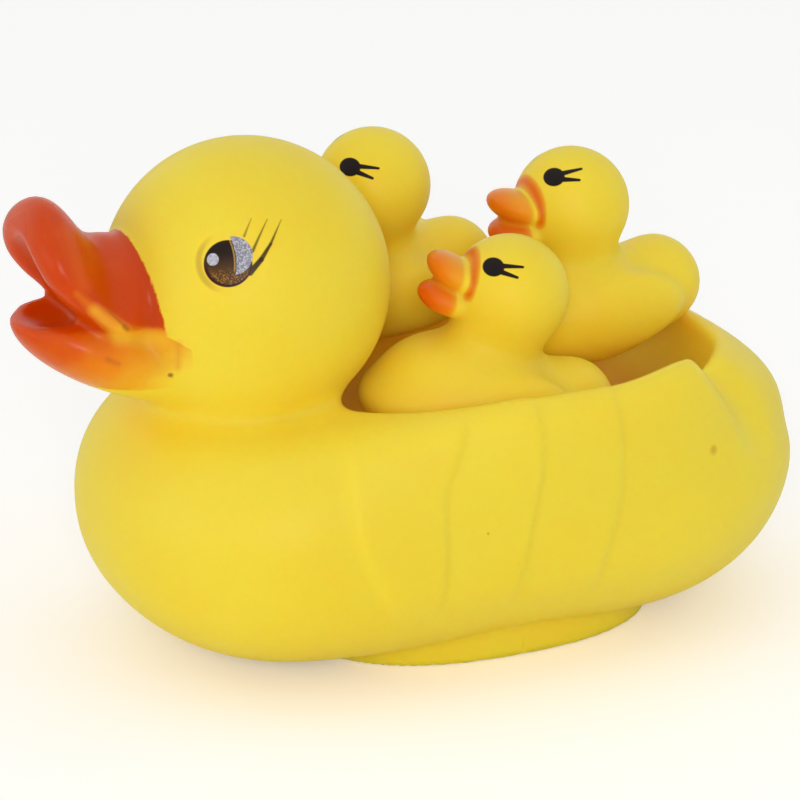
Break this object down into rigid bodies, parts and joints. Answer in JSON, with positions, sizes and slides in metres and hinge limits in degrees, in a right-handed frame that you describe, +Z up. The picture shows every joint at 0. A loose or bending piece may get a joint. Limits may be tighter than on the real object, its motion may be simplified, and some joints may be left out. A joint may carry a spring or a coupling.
{
  "type": "rubber duck",
  "caption": "Soft vinyl bath duck with an open, upturned bill and a tray moulded into its back, in which loose ducklings ride.",
  "frame": {"origin": "on the standing surface, midway from bill tip to tail and on the plane of symmetry of the large duck", "axes": "+Z up, the large duck faces -Y, and its left side is +X"},
  "size_m": [0.0798, 0.1308, 0.0842],
  "materials": {
    "mother_vinyl": "satin soft vinyl, yellow through, with a sprayed orange bill and printed eyes",
    "duckling_vinyl": "satin soft vinyl, yellow through, with a sprayed orange bill and printed eyes",
    "squeaker_plastic": "ivory moulded plastic"
  },
  "bodies": {
    "root": {"mother_duck": "mother_vinyl", "duckling_left": "duckling_vinyl", "duckling_right": "duckling_vinyl", "duckling_rear": "duckling_vinyl", "mother_squeaker": "squeaker_plastic", "duckling_left_squeaker": "squeaker_plastic", "duckling_right_squeaker": "squeaker_plastic", "duckling_rear_squeaker": "squeaker_plastic"}
  },
  "joints": []
}
